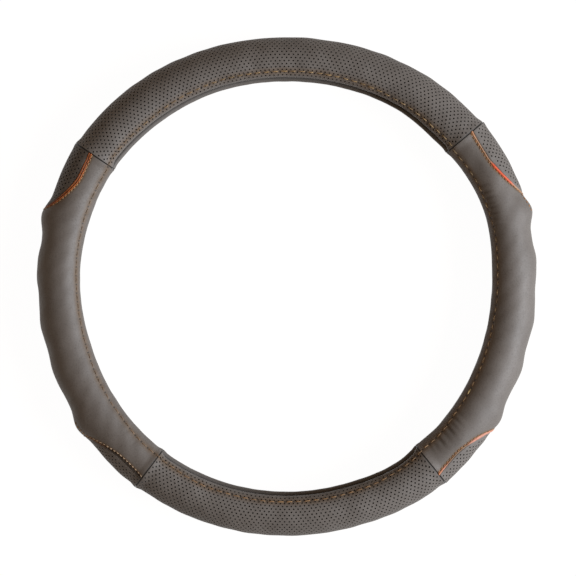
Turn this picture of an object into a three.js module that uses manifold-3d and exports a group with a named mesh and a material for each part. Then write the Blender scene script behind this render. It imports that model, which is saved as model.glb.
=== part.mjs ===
// A leather steering wheel cover: a moulded rubber ring, open towards its centre, that wears a sewn leather skin.
// The cover lies flat on its back, with the ring's axis along +Z and the driver's side up.
// Its hollow runs all the way round and closes over the rim of a steering wheel.
import * as THREE from "three";
import Module from "manifold-3d";
import { mergeVertices } from "three/addons/utils/BufferGeometryUtils.js";

// Driving dimensions, in millimetres.
const rimLineRadius = 173.4; // from the ring's centre to the middle of the hollow
const hollowDiameter = 30.2; // takes the rim of a 38 cm steering wheel
const rubberWall = 2.5;
const rubberLipWall = 1.6; // the wall thins towards both lips
const leather = 1.3;
const seat = 0.3; // clearance between pieces that touch
const slotWidth = 17.8; // between the two wrapped lips
const seamRidge = 1.2; // the folded leather edges stand up at a seam
const seamRidgeReach = 6;
const swell = 0.7; // height of the finger waves, and of the padding under the inserts
const restHalfWidth = 16; // half the length of a thumb rest along the ring
const pipingRadius = 1.0;
const pipingClearance = 0.4; // to the cut edges on both sides of the piping

// How far the soft ring lies out of a true circle: a shift, an egg shape, a squareness and a bulge at one corner.
const outOfRound = { shift: 0.95, egg: 1.2, square: 0.9, bulge: 1.5 };
const bulge = { at: 304, half: 20 }; // in degrees round the ring

// The sewing draws the inner side of the section out towards the middle of the hollow, by a share of its distance
// from there. It does so everywhere, and more or less than that around some angles.
const drawnOut = 0.09;
const drawnMore = [
  { at: 21, half: 20, by: 0.15 },
  { at: 46, half: 12, by: -0.1 },
  { at: 130, half: 26, by: -0.09 },
  { at: 178, half: 24, by: 0.09 },
  { at: 310, half: 9, by: -0.12 },
];

// Angles in degrees. Around the ring they run counter-clockwise from +X. Around the section they run from the
// outermost point, positive towards the driver.
const restBand = { from: 80, to: 100 }; // the strip of the back that the cover lies on
const hemFrom = 120; // the wrapped edge of the leather ends here, inside the hollow
const fingerWaves = 4; // hollows between the two thumb rests of a grip

// The four corners, where a perforated panel meets a smooth grip. The grip runs from the seam to the side given,
// with a perforated crescent of the given reach along the ring, then a thumb rest. The crescent's spread round the
// section is given at the front, and is less behind. The rest stands up by a height in millimetres, past the
// crescent's tip by an angle. The crescent's padding may be thin.
const corners = [
  { name: "upper_right", seam: 39.9, side: -1, reach: 18.5, spread: 73, rest: 3.4, past: 3.9, thin: 0 },
  { name: "upper_left", seam: 145.9, side: 1, reach: 16.2, spread: 82, rest: 2.9, past: 1.4, thin: 1.2 },
  { name: "lower_left", seam: 232.9, side: -1, reach: 16.5, spread: 66, rest: 2.8, past: 2.3, thin: 0 },
  { name: "lower_right", seam: 308.9, side: 1, reach: 16.1, spread: 68, rest: 2.1, past: 2.5, thin: 0 },
];
const backSpread = 58;
const [upperRight, upperLeft, lowerLeft, lowerRight] = corners;

// The outline of a crescent insert: its widest place, as a share of its reach, and how much it draws in at the seam.
const insertWidestAt = 0.4;
const insertMiddle = 0.72; // where its padding is thinnest, as a share of its reach
const insertDrawIn = 5;
const insertCurveSteps = 10;

// How finely the surfaces are faceted.
const panelStep = 9.2;
const outerAngles = [0, 27, 54, restBand.from, restBand.to, hemFrom];
const hollowAngles = [0, 30, 60, 90, hemFrom];
const turnSteps = 2;
const pipingSides = 5;
const pipingSteps = 23;

// Worked out from the above.
const rubberOuter = hollowDiameter / 2 + rubberWall;
const leatherInner = rubberOuter + seat;
const skinRadius = leatherInner + leather;
const lipCentre = rubberOuter - rubberLipWall / 2;
const lipTurn = rubberLipWall / 2 + seat + leather; // radius of the leather's turn round a lip
const lipAngle = 180 - THREE.MathUtils.radToDeg(Math.asin((slotWidth / 2 + lipTurn) / lipCentre));
const ringRadius = rimLineRadius + skinRadius;
const halfDepth = skinRadius * Math.sin(THREE.MathUtils.degToRad(restBand.from));

const wasm = await Module();
wasm.setup();

const rad = THREE.MathUtils.degToRad;
const along = (millimetres) => THREE.MathUtils.radToDeg(millimetres / ringRadius); // as an angle round the ring

// The smallest turn from one angle to another, between -180 and 180 degrees.
function turnFrom(from, to) {
  return THREE.MathUtils.euclideanModulo(to - from + 180, 360) - 180;
}

// A smooth hump of height 1 that falls to 0 at the half width.
function hump(distance, halfWidth) {
  return Math.abs(distance) < halfWidth ? Math.cos((Math.PI / 2) * (distance / halfWidth)) ** 2 : 0;
}

function lineRadius(angle) {
  const a = rad(angle);
  return (
    rimLineRadius +
    outOfRound.shift * Math.sin(a) +
    outOfRound.egg * Math.sin(3 * a) -
    outOfRound.square * Math.cos(4 * a) +
    outOfRound.bulge * hump(turnFrom(bulge.at, angle), bulge.half)
  );
}

const restInto = (corner) => corner.reach + corner.past; // the angle into the grip at which its thumb rest stands
const restAngle = (corner) => corner.seam + corner.side * restInto(corner);

// The grips, each from one seam to the next, counter-clockwise, and between them the perforated panels.
const grips = [
  { name: "left_grip", first: upperLeft, last: lowerLeft },
  { name: "right_grip", first: lowerRight, last: upperRight },
];
const panels = [
  { name: "top_panel", first: upperRight, last: upperLeft },
  { name: "bottom_panel", first: lowerLeft, last: lowerRight },
];
const spanOf = ({ first, last }) => THREE.MathUtils.euclideanModulo(last.seam - first.seam, 360);

// How far the moulded ring stands out at its outermost line: the thumb rests and the finger waves between them.
function riseAt(angle) {
  let rise = 0;
  for (const corner of corners) {
    rise += corner.rest * hump(turnFrom(restAngle(corner), angle), along(restHalfWidth));
    const half = corner.reach * insertMiddle;
    rise -= corner.thin * hump(turnFrom(corner.seam + corner.side * half, angle), half);
    const pastSeam = -turnFrom(corner.seam, angle) * corner.side;
    if (pastSeam >= 0 && pastSeam < along(seamRidgeReach)) rise += swell * (1 - pastSeam / along(seamRidgeReach));
  }
  for (const grip of grips) {
    const into = THREE.MathUtils.euclideanModulo(angle - grip.first.seam, 360);
    if (into <= 0 || into >= spanOf(grip)) continue;
    const start = restInto(grip.first);
    const length = spanOf(grip) - start - restInto(grip.last);
    const share = THREE.MathUtils.clamp((into - start) / length, 0, 1);
    rise += swell * Math.cos(2 * Math.PI * fingerWaves * share);
  }
  return rise;
}

// The rise fades out towards the front and the back of the section.
function riseOver(angle, phi) {
  return Math.abs(phi) < restBand.from ? riseAt(angle) * Math.cos(rad((90 * phi) / restBand.from)) ** 2 : 0;
}

// The folded edges at a seam lie pressed flat on the strip that the cover rests on.
function ridgeOver(angle, phi) {
  if (phi <= -restBand.from && phi >= -restBand.to) return 0;
  const heights = corners.map(({ seam }) => hump(turnFrom(seam, angle), along(seamRidgeReach)));
  return seamRidge * Math.max(...heights);
}

function drawnAt(angle) {
  return drawnMore.reduce((sum, { at, half, by }) => sum + by * hump(turnFrom(at, angle), half), drawnOut);
}

// A point of the section at an angle round the ring: its distance from the ring's axis, and its height.
function sectionPoint(angle, radius, phi) {
  const across = radius * Math.cos(rad(phi));
  return [lineRadius(angle) + across * (across < 0 ? 1 - drawnAt(angle) : 1), radius * Math.sin(rad(phi))];
}

// A point on the turn round a lip. The turn starts at the outside, 0 degrees, and ends in the hollow, at 180.
function lipPoint(angle, side, radius, turned) {
  const [rho, height] = sectionPoint(angle, lipCentre, side * lipAngle);
  const direction = rad(side * (lipAngle + turned));
  return [rho + radius * Math.cos(direction), height + radius * Math.sin(direction)];
}

const bothWays = (angles) => [...angles.slice(1).reverse().map((phi) => -phi), ...angles];
const outwards = bothWays(outerAngles);
const turns = Array.from({ length: turnSteps + 1 }, (_, i) => (180 * i) / turnSteps);

// The rubber's section: the outer wall from lip to lip, a rounded lip, and the wall of the hollow back again.
function rubberSection(angle) {
  const lip = (side) => [0, 90, 180].map((turned) => lipPoint(angle, side, rubberLipWall / 2, turned));
  return [
    ...outwards.map((phi) => sectionPoint(angle, rubberOuter + riseOver(angle, phi), phi)),
    ...lip(1),
    ...bothWays(hollowAngles).map((phi) => sectionPoint(angle, hollowDiameter / 2, -phi)),
    ...lip(-1).reverse(),
  ];
}

// The leather's section: over the outside from lip to lip, round the lip into the hollow, where its edge ends, and
// back along the rubber.
function leatherSection(angle) {
  const hemInner = hollowDiameter / 2 - seat - leather;
  const hemOuter = hollowDiameter / 2 - seat;
  const outerTurn = (side) => turns.map((turned) => lipPoint(angle, side, lipTurn, turned));
  const innerTurn = (side) => [180, 90, 0].map((turned) => lipPoint(angle, side, lipTurn - leather, turned));
  const hemEnd = (side) => [hemInner, hemOuter].map((radius) => sectionPoint(angle, radius, side * hemFrom));
  return [
    ...outwards.map((phi) =>
      sectionPoint(angle, skinRadius + riseOver(angle, phi) + ridgeOver(angle, phi), phi),
    ),
    ...outerTurn(1),
    ...hemEnd(1),
    ...innerTurn(1),
    ...outwards.map((phi) => sectionPoint(angle, leatherInner + riseOver(angle, -phi), -phi)),
    ...innerTurn(-1).reverse(),
    ...hemEnd(-1).reverse(),
    ...outerTurn(-1).reverse(),
  ];
}

// Carries a section, a closed outline, round the ring through the given angles. The sweep is closed on itself or
// has a flat end at its first and last angle. Each four-sided facet is split along its fuller diagonal, so that the
// facets of the skin run along those of the rubber.
function sweep(angles, sectionAt, closed) {
  const sections = angles.map(sectionAt);
  const count = sections[0].length;
  const positions = sections.flatMap((section, i) =>
    section.flatMap(([rho, height]) => [rho * Math.cos(rad(angles[i])), rho * Math.sin(rad(angles[i])), height]),
  );
  const index = [];
  for (let i = 0; i < (closed ? angles.length : angles.length - 1); i++) {
    const after = (i + 1) % angles.length;
    const here = i * count;
    const next = after * count;
    const line = (lineRadius(angles[i]) + lineRadius(angles[after])) / 2;
    const reach = (a, b) => Math.hypot((a[0] + b[0]) / 2 - line, (a[1] + b[1]) / 2);
    for (let j = 0; j < count; j++) {
      const k = (j + 1) % count;
      if (reach(sections[i][j], sections[after][k]) > reach(sections[i][k], sections[after][j]))
        index.push(here + j, next + j, next + k, here + j, next + k, here + k);
      else index.push(here + j, next + j, here + k, here + k, next + j, next + k);
    }
  }
  if (!closed) {
    const flat = (section) => section.map(([rho, height]) => new THREE.Vector2(rho, height));
    const lastRow = (angles.length - 1) * count;
    for (const [a, b, c] of THREE.ShapeUtils.triangulateShape(flat(sections[0]), [])) index.push(a, b, c);
    for (const [a, b, c] of THREE.ShapeUtils.triangulateShape(flat(sections.at(-1)), []))
      index.push(lastRow + a, lastRow + c, lastRow + b);
  }
  const geometry = new THREE.BufferGeometry();
  geometry.setAttribute("position", new THREE.Float32BufferAttribute(positions, 3));
  geometry.setIndex(index);
  return geometry;
}

// The angles at which the sections stand, from one seam to the next, without the seams themselves.
function panelAngles(panel) {
  const near = along(seamRidgeReach);
  const middle = spanOf(panel) - 2 * near;
  const steps = Math.ceil(middle / panelStep);
  return Array.from({ length: steps + 1 }, (_, i) => panel.first.seam + near + (middle * i) / steps);
}

function gripAngles(grip) {
  const near = along(seamRidgeReach);
  const firstRest = restInto(grip.first);
  const lastRest = spanOf(grip) - restInto(grip.last);
  const half = along(restHalfWidth);
  const waves = Array.from({ length: 2 * fingerWaves - 1 }, (_, i) => (i + 1) / (2 * fingerWaves));
  return [
    near,
    (near + firstRest - half) / 2,
    firstRest - half,
    firstRest - half / 2,
    firstRest,
    firstRest + half / 2,
    ...waves.map((share) => THREE.MathUtils.lerp(firstRest, lastRest, share)),
    lastRest - half / 2,
    lastRest,
    lastRest + half / 2,
    lastRest + half,
    (spanOf(grip) - near + lastRest + half) / 2,
    spanOf(grip) - near,
  ].map((into) => grip.first.seam + into);
}

// The outline of a crescent insert on the front, side 1, or the back, -1, from beyond its seam to its tip, as pairs
// of an angle into the grip and an angle round the section. Past its widest place it falls to the tip as cos w, with
// the reach going as sin w to the 4/3. A distance in millimetres moves the outline outwards on the skin.
function crescentOutline(corner, side, outset) {
  const { reach } = corner;
  const spread = side > 0 ? corner.spread : backSpread;
  const widest = insertWidestAt * reach;
  const atSeam = [-0.15, 0.05, 0.2].map((share) => {
    const drawn = ((insertWidestAt - share) / insertWidestAt) ** 2;
    return [share * reach, spread - insertDrawIn * drawn];
  });
  const toTip = Array.from({ length: insertCurveSteps + 1 }, (_, i) => {
    const w = (Math.PI / 2) * (i / insertCurveSteps);
    return [widest + (reach - widest) * Math.sin(w) ** (4 / 3), spread * Math.cos(w)];
  });
  const flat = [...atSeam, ...toTip].map(
    ([into, phi]) => new THREE.Vector2(rad(into) * ringRadius, rad(phi) * skinRadius),
  );
  return flat.map((point, i) => {
    const before = flat[Math.max(i - 1, 0)];
    const isTip = i === flat.length - 1;
    const after = isTip ? new THREE.Vector2(before.x, -before.y) : flat[i + 1];
    const direction = after.clone().sub(before).normalize();
    const moved = point.clone().add(new THREE.Vector2(-direction.y, direction.x).multiplyScalar(outset));
    const into = THREE.MathUtils.radToDeg(moved.x / ringRadius);
    const phi = THREE.MathUtils.radToDeg(moved.y / skinRadius);
    return [into, Math.max(phi, along(seat))];
  });
}

// A block that stands on a crescent outline and reaches through the skin, to cut the skin with.
function crescentBlock(corner, outset) {
  const columns = [-1, -0.66, -0.33, 0, 0.33, 0.66, 1];
  const [back, front] = [-1, 1].map((side) => crescentOutline(corner, side, outset));
  const inner = hollowDiameter / 2 - leather;
  const outer = skinRadius + corner.rest + swell + seamRidge + 2 * leather;
  const positions = [];
  for (const radius of [inner, outer])
    for (let i = 0; i < front.length; i++)
      for (const column of columns) {
        const share = column * corner.side;
        const [atBack, atFront] = [back[i], front[i]];
        const angle = corner.seam + corner.side * THREE.MathUtils.lerp(atBack[0], atFront[0], (share + 1) / 2);
        const phi = share * (share > 0 ? atFront : atBack)[1];
        const [rho, height] = sectionPoint(angle, radius, phi);
        positions.push(rho * Math.cos(rad(angle)), rho * Math.sin(rad(angle)), height);
      }
  const across = columns.length;
  const layer = front.length * across;
  const index = [];
  const quad = (a, b, c, d) => index.push(a, b, c, a, c, d);
  for (let i = 0; i + 1 < front.length; i++) {
    for (let j = 0; j + 1 < across; j++) {
      const at = i * across + j;
      quad(at, at + 1, at + across + 1, at + across);
      quad(layer + at, layer + at + across, layer + at + across + 1, layer + at + 1);
    }
    const edge = i * across;
    quad(edge, edge + across, layer + edge + across, layer + edge);
    const far = edge + across - 1;
    quad(far, layer + far, layer + far + across, far + across);
  }
  for (let j = 0; j + 1 < across; j++) {
    quad(j, layer + j, layer + j + 1, j + 1);
    const tip = (front.length - 1) * across + j;
    quad(tip, tip + 1, layer + tip + 1, layer + tip);
  }
  const geometry = new THREE.BufferGeometry();
  geometry.setAttribute("position", new THREE.Float32BufferAttribute(positions, 3));
  geometry.setIndex(index);
  return geometry;
}

function solidFrom(geometry) {
  const merged = mergeVertices(geometry, 1e-4);
  return new wasm.Manifold(
    new wasm.Mesh({
      numProp: 3,
      vertProperties: merged.attributes.position.array,
      triVerts: new Uint32Array(merged.index.array),
    }),
  );
}

function geometryFrom(solid) {
  const { vertProperties, triVerts } = solid.getMesh();
  const geometry = new THREE.BufferGeometry();
  geometry.setAttribute("position", new THREE.BufferAttribute(vertProperties, 3));
  geometry.setIndex(new THREE.BufferAttribute(triVerts, 1));
  return geometry;
}

const allAngles = [...corners.map(({ seam }) => seam), ...panels.flatMap(panelAngles), ...grips.flatMap(gripAngles)]
  .map((angle) => THREE.MathUtils.euclideanModulo(angle, 360))
  .sort((a, b) => a - b);

// The rise of the faceted ring, which is straight from one section to the next.
function facetRise(angle, phi) {
  const a = THREE.MathUtils.euclideanModulo(angle, 360);
  const after = allAngles.findIndex((station) => station >= a);
  const [from, to] = [allAngles.at(after - 1), allAngles.at(after)];
  const share = turnFrom(from, a) / turnFrom(from, to);
  return THREE.MathUtils.lerp(riseOver(from, phi), riseOver(to, phi), share);
}

// The round cord of leather that edges a crescent, from the seam at the front, round the tip, to the seam behind.
// It sits on the rubber, between the grip's cut edge and the insert.
function pipingGeometry(corner) {
  const onSide = (side) =>
    crescentOutline(corner, side, 0)
      .filter(([into]) => into > 0)
      .map(([into, phi]) => {
        const angle = corner.seam + corner.side * into;
        const radius = leatherInner + facetRise(angle, phi) + pipingRadius;
        const [rho, height] = sectionPoint(angle, radius, side * phi);
        return new THREE.Vector3(rho * Math.cos(rad(angle)), rho * Math.sin(rad(angle)), height);
      });
  const path = new THREE.CatmullRomCurve3([...onSide(1).slice(0, -1), ...onSide(-1).reverse()]);
  const round = new THREE.Shape(
    Array.from({ length: pipingSides }, (_, i) => {
      const a = (2 * Math.PI * i) / pipingSides;
      return new THREE.Vector2(pipingRadius * Math.cos(a), pipingRadius * Math.sin(a));
    }),
  );
  return new THREE.ExtrudeGeometry(round, { extrudePath: path, steps: pipingSteps });
}

const leatherSmooth = new THREE.MeshStandardMaterial({ color: 0x6b615a, roughness: 0.55 });
const leatherPerforated = new THREE.MeshStandardMaterial({ color: 0x665d56, roughness: 0.62 });
const leatherPiping = new THREE.MeshStandardMaterial({ color: 0xc8552a, roughness: 0.5 });
const mouldedRubber = new THREE.MeshStandardMaterial({ color: 0x1b1b1c, roughness: 0.85 });

const cover = new THREE.Group();
cover.position.z = halfDepth;

function addPiece(name, geometry, material) {
  geometry.computeVertexNormals();
  const mesh = new THREE.Mesh(geometry, material);
  mesh.name = name;
  cover.add(mesh);
}

addPiece("rubber_ring", sweep(allAngles, rubberSection, true), mouldedRubber);

function skinBetween({ first, last }, inner) {
  const edge = along(seat / 2);
  return sweep([first.seam + edge, ...inner, first.seam + spanOf({ first, last }) - edge], leatherSection, false);
}

for (const panel of panels) addPiece(panel.name, skinBetween(panel, panelAngles(panel)), leatherPerforated);

const pipingRoom = pipingRadius + pipingClearance;
for (const grip of grips) {
  const whole = solidFrom(skinBetween(grip, gripAngles(grip)));
  let smooth = whole;
  for (const corner of [grip.first, grip.last]) {
    smooth = smooth.subtract(solidFrom(crescentBlock(corner, pipingRoom)));
    const insert = whole.intersect(solidFrom(crescentBlock(corner, -pipingRoom)));
    addPiece(`${corner.name}_insert`, geometryFrom(insert), leatherPerforated);
    addPiece(`${corner.name}_piping`, pipingGeometry(corner), leatherPiping);
  }
  addPiece(grip.name, geometryFrom(smooth), leatherSmooth);
}

export default cover;
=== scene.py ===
# %% [markdown]
# A leather steering wheel cover. A moulded rubber ring with a C-shaped section grips the rim of the
# wheel, and a sewn leather skin is wrapped round it: perforated leather at the top and bottom, smooth
# leather on the two grips, and four perforated crescents edged with orange piping.
#
# Each solid is drawn again with a fine surface, because the look of this object is in its leather: holes,
# folds, stitches and grain. The first cell loads the solids.

# %% Load the solids
import math

import bpy
import mathutils
import numpy as np
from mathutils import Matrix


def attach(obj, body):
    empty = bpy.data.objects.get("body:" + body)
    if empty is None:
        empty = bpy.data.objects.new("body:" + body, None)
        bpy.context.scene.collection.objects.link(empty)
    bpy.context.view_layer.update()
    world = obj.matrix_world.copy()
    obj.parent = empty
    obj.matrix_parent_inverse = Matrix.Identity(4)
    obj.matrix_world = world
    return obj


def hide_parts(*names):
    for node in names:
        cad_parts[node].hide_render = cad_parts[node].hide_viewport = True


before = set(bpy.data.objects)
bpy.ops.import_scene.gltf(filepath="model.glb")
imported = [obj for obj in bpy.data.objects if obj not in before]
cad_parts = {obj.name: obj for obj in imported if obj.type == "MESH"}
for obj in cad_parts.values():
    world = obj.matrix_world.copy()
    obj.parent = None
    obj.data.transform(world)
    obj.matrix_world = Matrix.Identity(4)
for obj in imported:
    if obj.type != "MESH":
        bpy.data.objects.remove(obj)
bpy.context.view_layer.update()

# %% [markdown]
# The driving sizes are those of the solids, in metres. Two kinds of angle, in degrees, place every point.
# The first runs round the ring, counter-clockwise from the driver's right. The second runs round the
# section, from 0 at the outermost point to positive angles towards the driver.

# %% Sizes
MM = 0.001
rim_line_radius = 173.4 * MM
hollow_radius = 15.1 * MM
rubber_wall = 2.5 * MM
rubber_lip_wall = 1.6 * MM
leather = 1.3 * MM
seat = 0.3 * MM
slot_width = 17.8 * MM
seam_ridge_reach = 6 * MM
swell = 0.7 * MM
rest_half_width = 16 * MM
out_of_round = {"shift": 0.95 * MM, "egg": 1.2 * MM, "square": 0.9 * MM, "bulge": 1.5 * MM}
bulge_at = 304
bulge_half = 20
drawn_out = 0.09
drawn_more = [(21, 20, 0.15), (46, 12, -0.1), (130, 26, -0.09), (178, 24, 0.09), (310, 9, -0.12)]
back_spread = 58
rest_band = 80
pressed_half = 10
pressed_blend = 8
hem_from = 120
insert_middle = 0.72
finger_waves = 4

rubber_outer = hollow_radius + rubber_wall
skin_radius = rubber_outer + seat + leather
lip_centre = rubber_outer - rubber_lip_wall / 2
lip_turn = rubber_lip_wall / 2 + seat + leather
back_lip = 180 - math.degrees(math.asin((slot_width / 2 + lip_turn) / lip_centre))
ring_radius = rim_line_radius + skin_radius
half_depth = skin_radius * math.sin(math.radians(rest_band))
print("skin radius", round(skin_radius / MM, 2), "mm, lip at", round(back_lip, 1), "degrees")

# %% [markdown]
# At each of four corners a perforated panel meets a smooth grip in a straight seam. The grip starts with
# a perforated crescent of a given reach along the ring and spread round the front of the section, and
# then a thumb rest, which stands up by a height at an angle past the crescent's tip. The table also says
# how thin the padding is, how high the seam's folded edges stand, how far an insert is padded out and how
# much painted shade darkens it, how deep the piping's dip is and how far from it its stitches lie.

# %% Corners, panels and grips
facts = ("seam", "side", "reach", "spread", "past", "insert_shade", "dip", "rest", "thin", "ridge", "pad", "row")
in_mm = ("rest", "thin", "ridge", "pad", "row")
corner_values = {
    "upper_right": (39.9, -1, 18.5, 73, 3.9, 0, 0, 3.4, 0, 0.6, 0.6, 0.6),
    "upper_left": (145.9, 1, 16.2, 82, 1.4, 0.22, 0.75, 2.9, 1.2, 0.6, 0, 0.3),
    "lower_left": (232.9, -1, 16.5, 63, 2.3, 0, 0, 2.8, 0, 0.9, 0.1, 0.65),
    "lower_right": (308.9, 1, 16.1, 65, 2.5, 0, 0, 2.1, 0, 0.6, 0.3, 0.6),
}
corners = {name: {fact: value * MM if fact in in_mm else value for fact, value in zip(facts, values)}
           for name, values in corner_values.items()}
panels = {"top_panel": ("upper_right", "upper_left"), "bottom_panel": ("lower_left", "lower_right")}
grips = {"left_grip": ("upper_left", "lower_left"), "right_grip": ("lower_right", "upper_right")}


def span_of(first, last):
    """The angle from one corner's seam to another's, counter-clockwise."""
    return (corners[last]["seam"] - corners[first]["seam"]) % 360


def along(distance):
    """A distance along the ring's outer line, as an angle in degrees."""
    return np.degrees(distance / ring_radius)


def turn_from(start, angle):
    """The smallest turn from one angle to another, between -180 and 180 degrees."""
    return (angle - start + 180) % 360 - 180


def hump(distance, half_width):
    """A smooth hump: the squared cosine, 1 in the middle and 0 from the half width on."""
    return np.cos(np.pi / 2 * np.clip(distance / half_width, -1, 1)) ** 2


def humps(places, angle):
    """The sum of humps round the ring, each with its middle, its half width and its height."""
    return sum(height * hump(turn_from(middle, angle), half) for middle, half, height in places)


def smooth_step(value):
    """Rises from 0 to 1 as the value goes from 0 to 1, and is level at both ends."""
    held = np.clip(value, 0, 1)
    return held * held * (3 - 2 * held)


for name, (first, last) in {**panels, **grips}.items():
    print(name, "spans", round(span_of(first, last), 1), "degrees")

# %% [markdown]
# The ring is soft and not quite round: it is shifted, egg-shaped, a little square and bulged at one
# corner, each by about a millimetre. The moulded rubber stands out in a thumb rest past each crescent and
# in shallow waves for the fingers. The sewing draws the inner side of the section towards the middle of
# the hollow.

# %% The moulded form


def line_radius(angle):
    """The radius of the tube's centre line: a circle, with one, three and four waves round it and a
    bulge."""
    a = np.radians(angle)
    return (rim_line_radius + out_of_round["shift"] * np.sin(a) + out_of_round["egg"] * np.sin(3 * a)
            - out_of_round["square"] * np.cos(4 * a)
            + out_of_round["bulge"] * hump(turn_from(bulge_at, angle), bulge_half))


def rise_at(angle):
    """How far the outermost line stands out: the thumb rests, the finger waves and the swell at each
    seam."""
    angle = np.asarray(angle, float)
    rise = np.zeros_like(angle)
    for corner in corners.values():
        at_rest = corner["seam"] + corner["side"] * (corner["reach"] + corner["past"])
        rise += corner["rest"] * hump(turn_from(at_rest, angle), along(rest_half_width))
        half = corner["reach"] * insert_middle
        rise -= corner["thin"] * hump(turn_from(corner["seam"] + corner["side"] * half, angle), half)
        past_seam = -turn_from(corner["seam"], angle) * corner["side"]
        fading = swell * (1 - past_seam / along(seam_ridge_reach))
        rise += np.where((past_seam >= 0) & (past_seam < along(seam_ridge_reach)), fading, 0)
    for first, last in grips.values():
        into = (angle - corners[first]["seam"]) % 360
        start = corners[first]["reach"] + corners[first]["past"]
        length = span_of(first, last) - start - corners[last]["reach"] - corners[last]["past"]
        share = np.clip((into - start) / length, 0, 1)
        inside = (into > 0) & (into < span_of(first, last))
        rise += np.where(inside, swell * np.cos(2 * np.pi * finger_waves * share), 0)
    return rise


def rise_over(angle, phi):
    """The rise fades out towards the front and back of the section, as a squared cosine."""
    return rise_at(angle) * hump(phi, rest_band)


def ridge_over(angle, phi):
    """The folded edges at a seam stand up in a hump, and lie flat on the strip that the cover rests
    on."""
    heights = [corner["ridge"] * hump(turn_from(corner["seam"], angle), along(seam_ridge_reach))
               for corner in corners.values()]
    pressed = smooth_step((np.abs(phi + rest_band + pressed_half) - pressed_half) / pressed_blend)
    return np.max(heights, axis=0) * pressed


def section_place(angle, across, up):
    """Turns a place in the section, outwards and up from the tube's centre line, into a point in space.
    On the inner side the distance across is less by a share, which some angles raise or lower."""
    share = drawn_out + humps(drawn_more, angle)
    a = np.radians(angle)
    rho = line_radius(angle) + across * np.where(across < 0, 1 - share, 1)
    return np.stack([rho * np.cos(a), rho * np.sin(a), np.maximum(up + half_depth, 0)], axis=-1)


print("rise at the seams:", [round(float(rise_at(c["seam"])) / MM, 2) for c in corners.values()], "mm")

# %% [markdown]
# The leather is one strip as seen in section: a hem inside the hollow, a tight turn round the lip of the
# rubber, the whole outside, and the same again behind. A path coordinate runs along it: 0 is the
# outermost point, 1 the start of the front lip's turn, 2 its end and 3 the cut edge of the hem, and
# negative values are the back's. The front lip of the panels is less tightly wrapped than that of the
# grips, so that the lip behind shows past it. A row of stitches runs beside each lip. The front row was
# guided by hand, so it wanders.

# %% The leather's section
panel_lip = 133.4
grip_lip = 149
lip_blend = 2.5
turn_fade = 120
panel_row = 119.5
grip_row = 132
panel_row_more = [(54, 30, 6), (138, 34, 6.5), (236, 12, 5), (303, 14, 7)]
grip_row_more = [(21, 8, 4), (152, 12, 2), (182, 26, 7), (229, 12, -5), (313, 12, -4), (350, 12, 2)]
back_row_from_lip = 14.5


def grip_share(angle):
    """1 on the grips and 0 on the perforated panels, with a smooth step at each seam."""
    share = np.zeros_like(np.asarray(angle, float))
    for first, last in grips.values():
        half = span_of(first, last) / 2
        inside = half - np.abs(turn_from(corners[first]["seam"] + half, angle))
        share += smooth_step(0.5 + inside / (2 * lip_blend))
    return share


def lip_angle(angle, side):
    """The section angle at which the outside ends and the turn round the lip begins."""
    front = panel_lip + (grip_lip - panel_lip) * grip_share(angle)
    return np.where(np.asarray(side) > 0, front, back_lip)


def row_angle(angle, side):
    """The section angle of the row of stitches, from 0 at the outermost line, in front or behind."""
    share = grip_share(angle)
    front = ((panel_row + humps(panel_row_more, angle)) * (1 - share)
             + (grip_row + humps(grip_row_more, angle)) * share)
    return np.where(np.asarray(side) > 0, front, back_lip - back_row_from_lip)


def leather_point(angle, path, lift=0.0, depth=0.0):
    """A point of the leather. Outside it lies on a circle round the tube's centre line, with the moulded
    rise, the seams' ridges and the given lift added and the depth taken off. At the lip it lies on a
    small circle round the rubber's edge, and in the hem on a line between the two."""
    side = np.sign(path)
    reach = np.abs(path)
    lip = lip_angle(angle, side)
    phi = lip * np.minimum(reach, 1)
    ridge = ridge_over(angle, side * phi)
    radius = skin_radius + rise_over(angle, phi) + ridge + lift - depth
    turned = 180 * np.clip(reach - 1, 0, 1)
    turn_radius = lip_turn - depth + (lift + ridge) * hump(turned, turn_fade)
    hem = np.clip(reach - 2, 0, 1)
    hem_phi = lip + (hem_from - lip) * hem
    hem_start = lip_centre - turn_radius
    hem_radius = hem_start + (hollow_radius - seat - leather + depth - hem_start) * hem
    outside = reach <= 1
    folded = reach > 2
    a = np.radians(np.where(outside, phi, np.where(folded, hem_phi, lip)))
    b = np.radians(lip + turned)
    across = np.where(outside, radius * np.cos(a), lip_centre * np.cos(a) + turn_radius * np.cos(b))
    up = np.where(outside, radius * np.sin(a), lip_centre * np.sin(a) + turn_radius * np.sin(b))
    across = np.where(folded, hem_radius * np.cos(a), across)
    up = np.where(folded, hem_radius * np.sin(a), up)
    return section_place(angle, across, np.where(path < 0, -up, up))


front_lip = leather_point(np.array([90.0]), np.array([1.5]))[0]
print("front lip at 90 degrees:", np.round(front_lip / MM, 2), "mm")

# %% [markdown]
# A mesh can be filled from flat arrays of points and corners. One helper does that in one go, shades the
# mesh smooth apart from its sharp edges, hangs it under the root body and hides the solid it replaces.
# Adding one polygon at a time would be simpler, but takes minutes for a surface with a hundred thousand
# faces.

# %% From arrays to a piece
sharp_edge = math.radians(48)
finishes = {}
piece_triangles = {}


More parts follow.
